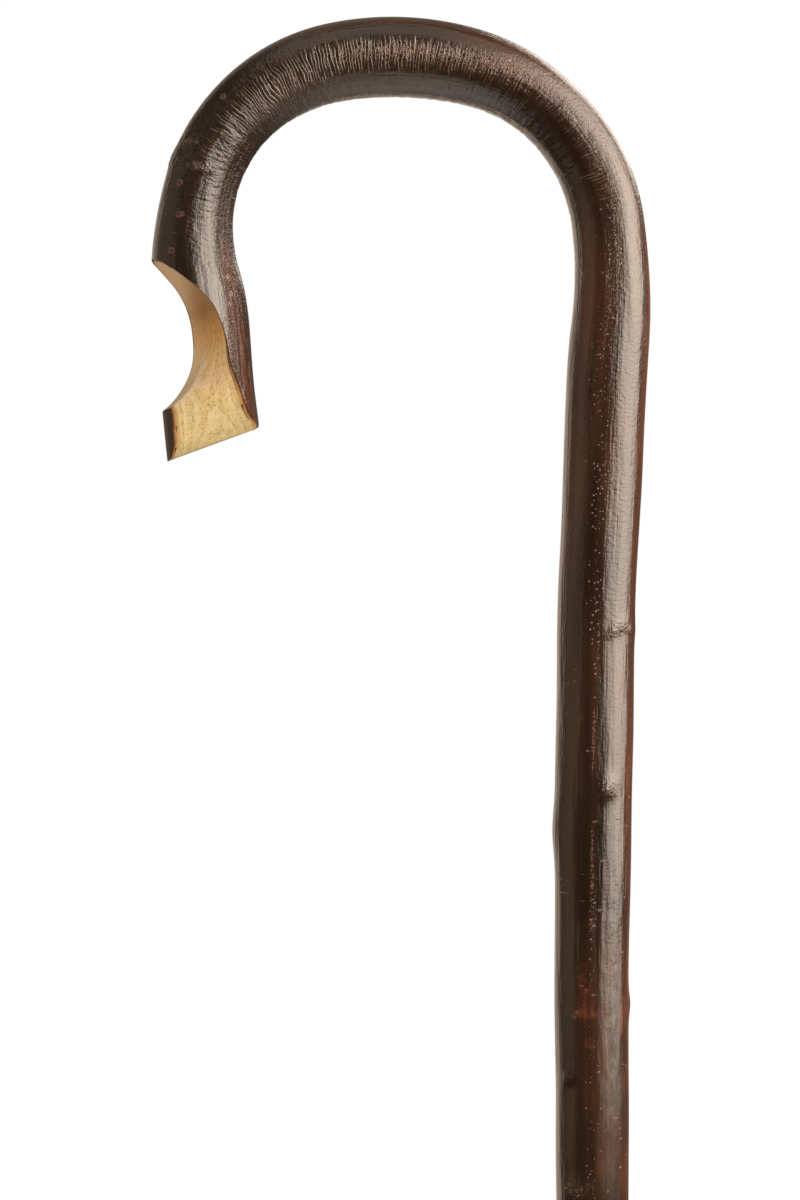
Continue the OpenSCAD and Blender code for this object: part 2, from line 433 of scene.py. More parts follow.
def add_node(kind, inputs=(), operation=None, **fields):
    """Adds a node to the tree in hand and returns its first output. Its inputs are given by name, or
    as a list in the order in which the node shows them."""
    added = tree.nodes.new("ShaderNode" + kind)
    if operation:
        added.operation = operation
    for name, value in fields.items():
        setattr(added, name, value)
    if not isinstance(inputs, dict):
        shown = [number for number, socket in enumerate(added.inputs) if socket.enabled]
        inputs = dict(zip(shown, inputs))
    set_inputs(added, inputs)
    return next(socket for socket in added.outputs if socket.enabled)


def set_ramp(tone, *stops):
    """Sets a colour ramp's stops, each a place and a colour, and returns the ramp's output."""
    elements = tone.node.color_ramp.elements
    while len(elements) < len(stops):
        elements.new(0.5)
    for element, (where, code) in zip(elements, stops):
        element.position = where
    for element, (where, code) in zip(elements, stops):
        element.color = colour(code)
    return tone


# Sweet chestnut cut across its growth rings and varnished: pale gold with tan rings 2.6 mm wide, rows
# of open pores in each ring that show as dark dashes 0.3 mm wide and 2 mm long, ends of fibres 0.5 mm
# across, and an orange rim of sapwood next to the bark.
wood.data.materials.clear()
tree, shader = new_material("varnished_cut_chestnut", wood)
grain = add_node("Attribute", attribute_name="grain").node.outputs["Vector"]
warp = add_node("TexNoise", [grain, 1 / (9 * mm), 2]).node.outputs["Color"]
nudged = add_node("VectorMath", [warp, (1.6 * mm,) * 3, grain], "MULTIPLY_ADD")
across = add_node("Mapping", {"Vector": nudged, "Scale": (1, 1, 0)})
from_pith = add_node("VectorMath", [across], "LENGTH")
years = add_node("Math", [from_pith, 1 / (2.6 * mm)], "MULTIPLY")
season = add_node("Math", [years], "FRACT")
ring_tone = set_ramp(
    add_node("ValToRGB", [season]),
    (0.0, "#e1bf87"), (0.25, "#e4c48d"), (0.6, "#e7c995"), (0.9, "#e9cd9b"), (1.0, "#e6c692"))
lengthwise = add_node("Mapping", {"Vector": grain, "Scale": (1, 1, 0.05)})
streaks = add_node("TexNoise", [lengthwise, 1 / (1.6 * mm), 5])
streak_tone = add_node("MapRange", [streaks, 0.25, 0.75, 0.84, 1.08])
fine = add_node("Mapping", {"Vector": grain, "Scale": (1, 1, 0.28)})
pore_noise = add_node("TexNoise", [fine, 1 / (0.34 * mm), 1])
early = add_node("MapRange", [season, 0.1, 0.7, 0.06, -0.03])
pore_level = add_node("Math", [pore_noise, early], "ADD")
open_pores = add_node("MapRange", [pore_level, 0.61, 0.71])
pore_share = add_node("Math", [open_pores, 0.5], "MULTIPLY")
rim, painted_ridge_highlight = [add_node("Attribute", attribute_name=name).node.outputs["Fac"]
               for name in ("under_bark", "painted_ridge_highlight")]
rim_wander = add_node("Math", [streaks, 2, rim], "MULTIPLY_ADD")
sapwood = add_node("MapRange", [rim_wander, 0.9, 2, 0.55, 0])
fibre_ends = add_node("TexNoise", [grain, 1 / (0.5 * mm), 2])
fibre_tone = add_node("MapRange", [fibre_ends, 0.3, 0.7, 0.88, 1.13])
pore_depth = add_node("Math", [open_pores, -0.1], "MULTIPLY")
hollows = add_node("Math", [streaks, 0.06, pore_depth], "MULTIPLY_ADD")
marks = add_node("Bump", {"Height": hollows, "Distance": 1 * mm})
# Painted shade darkens the top of the scoop, which faces down and to the left, away from the lights; from the
# middle of the nose to its end the tone is cooled and darkened a little
places = add_node("SeparateXYZ", [grain]).node.outputs
down_scoop = add_node("MapRange", [places["Z"], nose_start, nose_start + 48 * mm])
scoop_shade = set_ramp(
    add_node("ValToRGB", [down_scoop]), (0.0, "#bb9c76"), (0.27, "#ae8957"), (0.46, "#f3d6b0"),
    (0.58, "#fdf4e6"), (0.74, "#ede7ec"), (0.92, "#d8dedb"))
# A painted highlight runs along the ridge, and the back rim at the top of the scoop is paler
back_rim = add_node("MapRange", [places["X"], -2 * mm, 7 * mm, 0, 0.5], interpolation_type="SMOOTHSTEP")
upper = add_node("MapRange", [down_scoop, 0.5, 0.75, 1, 0])
rim_share = add_node("Math", [back_rim, upper], "MULTIPLY")
ridge_highlight_share = add_node("Math", [painted_ridge_highlight, 0.65], "MULTIPLY")
tone = ring_tone
for share, over, blend in (
        (1, streak_tone, "MULTIPLY"), (pore_share, "#8a6431", "MIX"), (sapwood, "#ac7b45", "MIX"),
        (1, fibre_tone, "MULTIPLY"), (1, scoop_shade, "MULTIPLY"), (rim_share, "#e8cb9c", "MIX"),
        (ridge_highlight_share, "#ecd9bd", "MIX")):
    tone = add_node("Mix", [share, tone, over], data_type="RGBA", blend_type=blend)
set_inputs(shader, {"Base Color": tone, "Normal": marks, "Roughness": 0.42, "Specular IOR Level": 0.05})
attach(wood, "crook")
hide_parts("chestnut_rod")


# Bark
# The stick's own bark, a skin that was never peeled. Steaming and scorching turned it nearly black,
# bending wrinkled it across the inside of the hook, and it is varnished all over.

bark_sides = 72
outer_levels = levels(
    (rod_foot, 0), (800 * mm, 3 * mm), (crook_start, 1 * mm), (nose_end, 0.5 * mm))
lining_levels = levels(
    (rod_foot, 0), (crook_start, 12 * mm), (nose_start - 8 * mm, 3 * mm), (nose_end, 2 * mm))

# Knots and buds on the straight stick: height, degrees round from the outer side (the photographed
# side is -90), rise, length up the stick, width round it, and the depth of the pit in the middle.
# Those below 800 mm follow the spiral that chestnut buds grow in.
knots = [
    (957.9, -74.5, 0.6, 4.0, 4.0, 0.5), (942.6, 180, 1.0, 10, 8, 0), (883.7, 0, 0.6, 4.5, 5, 0),
    (860, -131, 0.35, 2.4, 2.4, 0.4), (822, -116, 0.4, 3.0, 3.5, 0.4), (1011, -22, 0.4, 5, 5, 0),
    (1329, -20, 0.3, 3.5, 6, 0.3), (1326, -78, 0.4, 3, 5, 0.3), (1233, 60, 0.5, 5, 5, 0.4),
    (745, 52, 0.8, 6, 5, 0.5), (652, -164, 0.9, 7, 6, 0.4), (556, -20, 0.8, 6, 5, 0.5),
    (463, 124, 0.9, 7, 6, 0.4), (371, -92, 0.8, 6, 5, 0.5), (277, 52, 0.8, 6, 5, 0.4),
    (186, -164, 0.7, 5, 5, 0.4),
]
# Ridges left round the stick by old leaf scars: height, the two angles that they run between, and how
# rough they are
leaf_scars = [
    (1010.6, -105, -14, 1), (1330, -104, 8, 1.25), (1323, -70, -20, 1), (822, -130, -92, 1),
    (957.9, -83, -66, 1.3), (652, -190, -120, 1), (463, 90, 160, 1), (277, 10, 90, 1),
]
# The wrinkles up the stick: their middle and half width in degrees round it, and how strong they are
wrinkle_middle = np.array([
    (1120, -88), (1160, -86), (1180, -89), (1215, -94), (1240, -92), (1260, -89), (1300, -93),
    (1365, -97)]) * (mm, deg)
wrinkle_half = np.array([
    (1120, 27), (1160, 25), (1185, 20), (1230, 20), (1258, 26), (1365, 27)]) * (mm, deg)
wrinkle_strength = np.array([
    (1115, 0), (1140, 0.3), (1153, 0.6), (1163, 0.9), (1172, 0.8), (1185, 0.6), (1205, 0.75), (1240, 1),
    (1305, 1), (1330, 0.45), (1355, 0.1), (1385, 0)]) * (mm, 1)
# The column of pale dots and of orange grains, in the same way: its middle, its half width, how many
# dots there are and how many grains
speck_middle = np.array([
    (60, -92), (1000, -95), (1061, -96), (1110, -99), (1125, -90), (1140, -84), (1160, -66), (1195, -72),
    (1230, -88), (1260, -90), (1300, -112), (1345, -136), (1380, -133), (1425, -131)]) * (mm, deg)
speck_half = np.array([
    (60, 11), (1040, 12), (1080, 19), (1140, 21), (1240, 16), (1300, 12), (1360, 11),
    (1425, 8)]) * (mm, deg)
dot_amount = np.array([
    (60, 0.3), (780, 0.3), (850, 0.7), (905, 0.6), (980, 0.55), (1000, 0.9), (1080, 0.75), (1130, 0.55),
    (1260, 0.5), (1290, 0.3), (1330, 0.5), (1350, 0.6), (1425, 0.6)]) * (mm, 1)
grain_amount = np.array([
    (60, 0), (895, 0), (910, 0.9), (980, 0.95), (992, 0), (1050, 0), (1085, 0.3), (1105, 0.45), (1150, 0.6),
    (1190, 0.8), (1260, 1), (1285, 0), (1340, 0), (1372, 0.3), (1380, 0.7), (1404, 0.7), (1412, 0.2),
    (1425, 0)]) * (mm, 1)
# How high the fine pebbles of the bark stand up the stick, in millimetres
pebble_height = np.array([
    (60, 0.08), (1000, 0.1), (1060, 0.16), (1180, 0.16), (1250, 0.14), (1300, 0.26), (1335, 0.3),
    (1360, 0.24), (1378, 0.12), (1425, 0.1)]) * (mm, 1)

# The larger pores: height, degrees round, length up the stick and width round it. The photographed
# ones come first, and the rest are strewn over the whole stick.
strewn = np.random.default_rng(7)
pores = np.array([
    (1336.5, -58, 2.6, 3.0), (1346.5, -69, 2.2, 3.4), (1358, -61, 2.2, 3.2), (1307, -54, 2.0, 2.4),
    (1368, -144, 2.0, 1.8), (1374, -145, 2.0, 1.7), (1377.5, -138, 2.2, 1.7), (1382.5, -130, 0.8, 2.6),
    (1407.5, -147, 1.6, 1.6),
    *([strewn.uniform(*span) for span in ((70, 1000), (-180, 180), (0.5, 0.9), (1.1, 2.0))]
      for pore in range(520)),
]) * (mm, deg, mm, mm)
# Flecks where the skin of the bark is thin and the red under it shows, given as the pores are
flecks = np.array([
    (981, -111.5, 4, 2.2), (983.4, -142, 5.5, 2.6), (967.4, -81, 3, 2.6), (1055.4, -72, 3, 3.6),
    (1043.2, -72, 2.6, 3), (893.5, -105, 12, 6), (881.7, -112, 3.4, 20), (872, -92, 5, 7), (868, -150, 9, 5),
]) * (mm, deg, mm, mm)
# The stick's usual half thickness in millimetres, which turns angles round it into widths
usual_r = 12.5


def rough(points, *sizes):
    """Smooth random heights between about -1 and 1, with bumps of the given sizes in x, y and z."""
    return np.array([noise.noise(row) for row in (points / (np.array(sizes) * mm)).tolist()])


def turned_from(angle, middle):
    """The way round from one angle to another, the shorter way."""
    return (angle - middle + math.pi) % (2 * math.pi) - math.pi


def wrinkled(height, angle):
    """How wrinkled the bark is: most in front and at the back of the hook, where bending folded it, and a
    little all over the inside of the bend."""
    off = (-abs(angle) - eased(height, wrinkle_middle)) / eased(height, wrinkle_half)
    bent = np.clip(eased(height, wrinkle_strength), 0, 1)
    inner = smooth_step((abs(angle) - 95 * deg) / (35 * deg))
    return bent * np.exp(-off**2) + 0.42 * inner * smooth_step(2.5 * bent)


def from_knot(height, angle, knot):
    """How far places lie from the middle of a knot, as a share of its length and of its width."""
    (at, turn), (along, width) = knot[:2], knot[3:5]
    return np.hypot((height - at * mm) / (along * mm),
                    turned_from(angle, turn * deg) * usual_r / width)


def scarred(points, height, angle):
    """How much of a leaf scar or a knot is at each place."""
    scar_width = 2.2 * mm
    drift = scar_width * rough(points, 6, 6, 60)
    broken = smooth_step(0.75 + 1.6 * rough(points + 3 * mm, 4, 4, 9))
    amount = np.zeros(len(height))
    for at, start, end, roughness in leaf_scars:
        middle, half = (start + end) / 2 * deg, (end - start) / 2 * deg
        off = abs(turned_from(angle, middle)) - half
        within = smooth_step(0.5 - off / (16 * deg))
        across = np.exp(-((height - at * mm - drift) / scar_width)**2)
        amount = np.maximum(amount, roughness * within * broken * across)
    for knot in knots:
        away = from_knot(height, angle, knot)
        amount = np.maximum(amount, 0.8 * np.exp(-(1.3 * away)**2) * (knot[-1] > 0))
    return amount


def bark_relief(points, height, angle):
    """How far the bark stands above the plain stick: lumps, flutes, knots, leaf scars and wrinkles."""
    rise = 0.2 * rough(points, 13, 13, 30) + 0.1 * rough(points + 7 * mm, 3.4, 3.4, 55)
    for knot in knots:
        away = from_knot(height, angle, knot)
        rise += knot[2] * np.exp(-away**2) - knot[-1] * np.exp(-(2.6 * away)**2)
    crumple = rough(points, 1.9, 1.9, 1.5)
    rise += scarred(points, height, angle) * (0.15 + 0.45 * crumple)
    folds = 1 - 3.2 * abs(rough(points, 8, 8, 2.1))
    rise += 0.2 * np.clip(folds, -1, 1) * wrinkled(height, angle)
    return rise * mm


def bark_shape(height, turn):
    """The outside of the bark on the straight stick."""
    angle = 2 * math.pi * (turn - 0.5)
    radius = stick_radius(height, angle)
    plain = np.stack([radius * np.cos(angle), radius * np.sin(angle), height], axis=1)
    grown = 1 + bark_relief(plain, height, angle) / radius
    return slope_end(plain * np.stack([grown, grown, np.ones(len(grown))], axis=1))


bark = rolled("varnished_bark", outer_levels, bark_sides, bark_shape)
# The lining is then in hand. It is turned inside out and joined to the outside.
rolled("bark_lining", lining_levels, bark_sides, wood_shape)
edit_mode(True)
pick_all()
bpy.ops.mesh.flip_normals()
edit_mode(False)
bark.select_set(True)
bpy.context.view_layer.objects.active = bark
bpy.ops.object.join()
edit_mode(True)
for at_top in (True, False):
    pick_edge_loop(bark, at_top)
    bpy.ops.mesh.bridge_edge_loops()
face_outwards()
edit_mode(False)
cut(bark, sleeve)
bpy.data.objects.remove(sleeve)

straight = points_of(bark)
up, round_stick = straight[:, 2], np.arctan2(straight[:, 1], straight[:, 0])
off_column = (-abs(round_stick) - eased(up, speck_middle)) / eased(up, speck_half)
keep_values(bark, "wrinkled", wrinkled(up, round_stick))
keep_values(bark, "scarred", scarred(straight, up, round_stick))
keep_values(bark, "dotted", np.clip(eased(up, dot_amount), 0, 1) * np.exp(-off_column**2))
keep_values(bark, "grainy", np.clip(eased(up, grain_amount), 0, 1) * np.exp(-off_column**2))
far_off = 9.0
to_pore = np.full((len(up), 3), far_off)
for at, turn, along, width in pores:
    close = np.flatnonzero(abs(up - at) < 8 * mm)
    over = 2 * (up[close] - at) / along
    aside = 2 * turned_from(round_stick[close], turn) * usual_r * mm / width
    nearer = np.hypot(over, aside) < np.hypot(to_pore[close, 0], to_pore[close, 1])
    to_pore[close[nearer]] = np.stack([over, aside, 0 * over], axis=1)[nearer]
keep_values(bark, "to_pore", to_pore)
keep_values(bark, "pebbled", eased(up, pebble_height))
keep_values(bark, "worn", smooth_step((up - nose_start - 38 * mm) / (6 * mm))
            * smooth_step(1.6 - abs(round_stick) / (50 * deg)))
# The bark is redder on the outer side of the shank, on the inner side of the nose's leg, in patches low
# down, and in its flecks
on_shank = np.exp(-(turned_from(round_stick, 8 * deg) / (42 * deg))**2)
on_shank *= smooth_step((1175 * mm - up) / (60 * mm))
# Below about 900 mm the red fades to a third: painted shade, where less of the light reaches the lower shank
on_shank *= 0.35 + 0.65 * smooth_step((up - 840 * mm) / (60 * mm))
on_nose = np.exp(-((abs(round_stick) - 152 * deg) / (25 * deg))**2)
on_nose *= smooth_step((up - 1335 * mm) / (35 * mm))
in_patches = 0.6 * np.clip(rough(straight, 8, 8, 13), 0, 1) * smooth_step((985 * mm - up) / (60 * mm))
in_flecks = np.zeros(len(up))
for at, turn, along, width in flecks:
    away = np.hypot((up - at) / along, turned_from(round_stick, turn) * usual_r * mm / width)
    in_flecks = np.maximum(in_flecks, smooth_step(1.7 - 2.4 * away))
in_flecks *= np.clip(0.3 + 0.5 * rough(straight, 3, 3, 2), 0, 1)
keep_values(bark, "reddened", on_shank + 0.5 * on_nose + in_patches + in_flecks)
surface = stick_radius(up, round_stick)
plain = np.stack([surface * np.cos(round_stick), surface * np.sin(round_stick), up], axis=1)
surface = surface + bark_relief(plain, up, round_stick)
depth = np.clip((surface - np.hypot(straight[:, 0], straight[:, 1])) / bark_thick, 0, 1)
keep_values(bark, "depth", depth)
bend_piece(bark, 50 * deg)

# Smooth young chestnut bark, scorched and varnished: nearly black brown in long patches about 14 mm
# across, streaked, redder where its skin is thin, with pebbles about 1 mm across and fine scratches, a
# column of pale raised dots and orange grains, and pale lines along the folds of the bend, tan where the bark
# cracked and greyer on the nose's half, where they are a painted glint.
bark.data.materials.clear()
tree, shader = new_material("varnished_chestnut_bark", bark)
grain = add_node("Attribute", attribute_name="grain").node.outputs["Vector"]
up_stick = add_node("SeparateXYZ", [grain]).node.outputs["Z"]
wrinkle, scar, dotted, grainy, worn, red, pebbled = [
    add_node("Attribute", attribute_name=name).node.outputs["Fac"]
    for name in ("wrinkled", "scarred", "dotted", "grainy", "worn", "reddened", "pebbled")]
# Its patterns as noise: the size in millimetres, the detail, and the squeeze along x, y and z
noises = {}
for name, size, detail, squeeze in (
        ("patches", 14, 4, (1, 1, 0.2)), ("streaks", 2.2, 5, (1, 1, 0.04)), ("grains", 0.55, 2, (1, 1, 1)),
        ("dot warp", 0.7, 1, (1, 1, 1)), ("fold warp", 11, 2, (1, 1, 1.4)), ("scars", 1.6, 3, (1, 1, 1)),
        ("breaks", 1.6, 2, (0.28, 0.28, 1)), ("crumbs", 0.9, 2, (1, 1, 1)), ("dimples", 3, 3, (1, 1, 0.25)),
        ("pebbles", 1.2, 2, (0.8, 0.8, 1.3)), ("scratches", 0.6, 2, (1, 1, 0.05))):
    squeezed = add_node("Mapping", {"Vector": grain, "Scale": squeeze})
    noises[name] = add_node("TexNoise", [squeezed, 1 / (size * mm), detail])
patch_tone = set_ramp(
    add_node("ValToRGB", [noises["patches"]]), (0.32, "#21130a"), (0.52, "#331e0f"), (0.72, "#492a18"))
# The hook is darker, most of all towards its nose
hook_darkening = add_node("MapRange", [up_stick, 1150 * mm, 1310 * mm, 1, 0.62])
darkened_hook = add_node("Mix", [1, patch_tone, hook_darkening], data_type="RGBA", blend_type="MULTIPLY")
red_streaks = add_node("Math", [red, noises["streaks"]], "MULTIPLY")
red_share = add_node("MapRange", [red_streaks, 0.1, 0.55, 0, 0.9])
reddish = add_node("Mix", [red_share, darkened_hook, "#6b341f"], data_type="RGBA")
streak_tone = add_node("MapRange", [noises["streaks"], 0.25, 0.75, 0.6, 1.35])
streaked = add_node("Mix", [1, reddish, streak_tone], data_type="RGBA", blend_type="MULTIPLY")

# The orange grains, 0.5 mm across
grain_level = add_node("Math", [grainy, 0.16, noises["grains"]], "MULTIPLY_ADD")
grain_spots = add_node("MapRange", [grain_level, 0.62, 0.82])
specks = add_node("Math", [grain_spots, grainy], "MULTIPLY")

# The pale dots, 0.6 mm across and 1.25 mm apart, in cells that draw lots for them
dot_shift = noises["dot warp"].node.outputs["Color"]
dot_place = add_node("VectorMath", [dot_shift, (0.5 * mm,) * 3, grain], "MULTIPLY_ADD")
from_dot = add_node("TexVoronoi", [dot_place, 1 / (1.25 * mm)])
lots = add_node("SeparateColor", [from_dot.node.outputs["Color"]]).node.outputs
dot_lot = add_node("Math", [dotted, lots[0]], "SUBTRACT")
dot_drawn = add_node("MapRange", [dot_lot, 0, 0.05])
dot_size = add_node("MapRange", [lots[1], 0, 1, 0.12, 0.34])
dot_edge = add_node("Math", [dot_size, from_dot], "SUBTRACT")
dot_spots = add_node("MapRange", [dot_edge, 0, 0.08])
dots = add_node("Math", [dot_spots, dot_drawn], "MULTIPLY")
dot_tone = add_node("Mix", [lots[2], "#694536", "#937564"], data_type="RGBA")

# The larger pores, each a pale ragged ring round a darker eye
to_middle = add_node("Attribute", attribute_name="to_pore").node.outputs["Vector"]
from_pore = add_node("VectorMath", [to_middle], "LENGTH")
pore_edge = add_node("Math", [noises["dot warp"], 1.6, from_pore], "MULTIPLY_ADD")
pores_in = add_node("MapRange", [pore_edge, 1.5, 1.8, 1, 0])
eyes = add_node("MapRange", [pore_edge, 1.05, 1.35, 0.8, 0])
pore_rings = add_node("Math", [pores_in, eyes], "SUBTRACT")

# Pale lines along the folds, round the stick 1.15 mm apart, that wander, fork and break off: tan in the
# cracks, and greyer on the nose's half, where the grey is a painted glint on the fold ridges. A wave texture
# has 20 radians to a unit.
fold_shift = noises["fold warp"].node.outputs["Color"]
fold_place = add_node("VectorMath", [fold_shift, (0, 0, 4 * mm), grain], "MULTIPLY_ADD")
folds = add_node("TexWave", [fold_place, 2 * math.pi / (20 * 1.15 * mm)], bands_direction="Z")
fold_line = add_node("MapRange", [folds.node.outputs["Fac"], 0.68, 1])
fold_level = add_node("Math", [noises["breaks"], 1.6, wrinkle], "MULTIPLY_ADD")
fold_reach = add_node("MapRange", [fold_level, 1.3, 1.85])
fold_lines_and_glints = add_node("Math", [fold_line, fold_reach], "MULTIPLY")
nose_half = add_node("MapRange", [up_stick, 1225 * mm, 1265 * mm])
fold_crack_and_glint_tone = add_node("Mix", [nose_half, "#7d5a42", "#86765f"], data_type="RGBA")

# Rubbed leaf scars and knots
scar_level = add_node("Math", [scar, noises["scars"]], "MULTIPLY")
rubbed_scars = add_node("MapRange", [scar_level, 0.4, 0.56, 0, 0.65])
crumpled = add_node("Math", [noises["crumbs"], scar], "MULTIPLY")

# How strongly each of these colours the bark, one over the other, with the worn tip's brown over all
tone = streaked
for part, strength, over in (
        (specks, 1, "#744c34"), (dots, 0.8, dot_tone), (pore_rings, 0.5, "#845c49"),
        (fold_lines_and_glints, 0.55, fold_crack_and_glint_tone), (rubbed_scars, 1, "#5c4536"), (worn, 0.7, "#361a0d")):
    share = add_node("Math", [part, strength], "MULTIPLY")
    tone = add_node("Mix", [share, tone, over], data_type="RGBA")
# How far each part of the bark stands out, in millimetres
relief = 0.0
for part, rise in (
        (noises["streaks"], 0.3), (noises["dimples"], 0.25), (noises["pebbles"], pebbled), (specks, 0.12),
        (dots, 0.08), (pore_rings, 0.12), (fold_lines_and_glints, 0.22), (crumpled, 0.6), (noises["scratches"], 0.06)):
    relief = add_node("Math", [part, rise, relief], "MULTIPLY_ADD")
marks = add_node("Bump", {"Height": relief, "Distance": 1 * mm})

# The nose's leg is duller, except on its reddened inner side, and its tip is worn matt
gloss = add_node("MapRange", [noises["patches"], 0.3, 0.7, 0.19, 0.29])
dull = add_node("MapRange", [up_stick, 1250 * mm, 1320 * mm, 0, 0.09])
duller = add_node("Math", [dull, gloss], "ADD")
matt_tip = add_node("Math", [worn, 0.3, duller], "MULTIPLY_ADD")
inner_side = add_node("Math", [red, nose_half], "MULTIPLY")
roughness = add_node("Math", [inner_side, -0.36, matt_tip], "MULTIPLY_ADD")
coat = add_node("Math", [worn, -0.4, 0.4], "MULTIPLY_ADD")
set_inputs(shader, {
    "Base Color": tone, "Roughness": roughness, "Normal": marks, "Specular IOR Level": 0.9,
    "Specular Tint": "#fef8f0", "Coat Weight": coat, "Coat Roughness": 0.14, "Coat Normal": marks})

# Where the knife went through it, bark is matt and fibrous: orange inside, nearly black at the skin.
tree, shader = new_material("cut_chestnut_bark", bark)
grain = add_node("Attribute", attribute_name="grain").node.outputs["Vector"]
under_skin = add_node("Attribute", attribute_name="depth").node.outputs["Fac"]
fibre_place = add_node("Mapping", {"Vector": grain, "Scale": (1, 1, 0.1)})
fibres = add_node("TexNoise", [fibre_place, 1 / (0.6 * mm), 3])
layer = add_node("Math", [fibres, 0.5, under_skin], "MULTIPLY_ADD")
layer_tone = set_ramp(
    add_node("ValToRGB", [layer]), (0.25, "#2c1b11"), (0.5, "#4f3420"), (0.8, "#8a6237"), (1.0, "#a87d49"))
ragged = add_node("Bump", {"Height": fibres, "Distance": 0.15 * mm})
set_inputs(shader, {
    "Base Color": layer_tone, "Normal": ragged, "Roughness": 0.7, "Specular IOR Level": 0.15})
# The cut faces lie between the skin and the wood
for face in bark.data.polygons:
    if 0.12 < depth[list(face.vertices)].mean() < 0.88:
        face.material_index = 1
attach(bark, "crook")
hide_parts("bark")


# Ferrule cup
# A pressed cup of zinc-plated steel, driven over the peeled end of the rod. Its mouth is rolled into
# a bead that meets the bark, and two rings are rolled into its wall to stiffen it.


def turned(name, profile, edge, steps=96):
    """A piece turned round the stick's axis from a closed profile of (radius, height) points, whose
    corners are then broken by an edge."""
    bpy.ops.object.select_all(action="DESELECT")
    bpy.ops.mesh.primitive_plane_add(size=1 * mm)
    piece = bpy.context.object
    piece.name = name
    edit_mode(True)
    bpy.ops.mesh.select_mode(type="VERT")
    pick_all()
    bpy.ops.mesh.merge(type="CENTER")
    path = np.array(profile) * mm
    bpy.ops.transform.translate(value=(path[0, 0], 0, path[0, 1]))
    for step in np.diff(path, axis=0):
        bpy.ops.mesh.extrude_region_move(TRANSFORM_OT_translate={"value": (step[0], 0, step[1])})
    pick_all()
    bpy.ops.mesh.spin(steps=steps, angle=2 * math.pi, center=(0, 0, 0), axis=(0, 0, 1))
    pick_all()
    bpy.ops.mesh.remove_doubles(threshold=1e-6)
    face_outwards()
    edit_mode(False)
    if edge:
        broken = piece.modifiers.new("broken_edges", "BEVEL")
        broken.width = edge
        broken.segments = 3
        broken.limit_method = "ANGLE"
        broken.angle_limit = 32 * deg
        bpy.ops.object.modifier_apply(modifier=broken.name)
    bpy.ops.object.shade_smooth_by_angle(angle=35 * deg)
    return piece


def rounded(centre, radius, start, end, count):
    """Points round part of a circle in a profile, from one angle in degrees to another."""
    turns = np.radians(np.linspace(start, end, count))
    return [(centre[0] + radius * math.cos(t), centre[1] + radius * math.sin(t)) for t in turns]


def rolled_ring(wall, height, depth, width):
    """A shallow ring rolled into a wall: a smooth dip in a profile that goes up."""
    across = np.linspace(-1, 1, 9)
    return [(wall - depth * (1 + math.cos(math.pi * a)) / 2, height + width * a / 2) for a in across]


cup = turned("ferrule_cup_pressed", [
    (2.25, 23.8), *rounded((8.5, 25.4), 1.6, -90, 0, 7),
    *rolled_ring(10.1, 48.8, 0.35, 2.4), *rolled_ring(10.1, 52, 0.35, 2.4),
    (10.1, 59.3), *rounded((9.7, 60.6), 1.0, -66, 90, 9),
    (9.1, 61.6), (9.1, 25.8), (2.25, 25.8), (2.25, 23.8)], 0)


def finish(tone, worn, span, relief, depth, metallic=1):
    """Gives the shader in hand a colour, a roughness that follows a pattern, and a fine relief. The span
    is the pattern's range and the roughness at its two ends."""
    gloss = add_node("MapRange", [worn, *span])
    marks = add_node("Bump", {"Height": relief, "Distance": depth})
    set_inputs(shader, {"Base Color": tone, "Roughness": gloss, "Normal": marks, "Metallic": metallic})


# Zinc plating on pressed steel: a soft blue-grey metal with cloudy patches about 5 mm across, fine
# draw marks up the wall from the press, and scuffs that shine.
tree, shader = new_material("zinc_plated_pressed_steel", cup)
place = add_node("TexCoord").node.outputs["Object"]
clouds = add_node("TexNoise", [place, 1 / (5 * mm), 4])
up_wall = add_node("Mapping", {"Vector": place, "Scale": (1, 1, 0.03)})
drawn = add_node("TexNoise", [up_wall, 1 / (0.5 * mm), 3])
tone = set_ramp(add_node("ValToRGB", [clouds]), (0.3, "#8f9192"), (0.7, "#bdbfbd"))
finish(tone, drawn, (0.3, 0.7, 0.26, 0.46), drawn, 0.02 * mm)
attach(cup, "crook")
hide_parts("ferrule_cup")


# Spike
# A turned and hardened steel point. Its collar bears on the base of the cup, and its shank is driven
# through the base into the end grain of the rod.

point = turned("spike_turned", [
    (0, 7.8), (0.35, 7.86), (0.62, 8.1), (0.75, 8.5), (4.0, 19.4), (4.0, 20.3), (5.2, 20.3),
    *rolled_ring(5.2, 22.05, 0.45, 1.5), (5.2, 23.8), (2.2, 23.8), (2.2, 46.3), (1.2, 47.8), (0, 47.8)],
    0.2 * mm)

# Hardened steel off the lathe: dark grey with fine turning rings 0.4 mm apart, straw-brown where it
# was tempered, and brighter at the worn tip and towards the collar.
tree, shader = new_material("turned_hardened_steel", point)
place = add_node("TexCoord").node.outputs["Object"]
up_spike = add_node("SeparateXYZ", [place]).node.outputs["Z"]
rings = add_node("TexNoise", {"W": up_spike, "Scale": 1 / (0.4 * mm), "Detail": 2}, noise_dimensions="1D")
heat = add_node("TexNoise", [place, 1 / (6 * mm), 3])
drift = add_node("Math", [heat, 9 * mm, up_spike], "MULTIPLY_ADD")
temper = add_node("MapRange", [drift, 10 * mm, 29 * mm])
tone = set_ramp(
    add_node("ValToRGB", [temper]), (0.0, "#9a9894"), (0.3, "#55565a"), (0.55, "#5e5348"), (1.0, "#ffffff"))
finish(tone, rings, (0.3, 0.7, 0.28, 0.42), rings, 0.03 * mm)
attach(point, "crook")
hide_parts("spike")


# Ferrule brads
# Two short wire nails with domed heads, driven through the cup's wall into the rod from front and
# back, so that the cup can't be pulled off with the rubber foot.

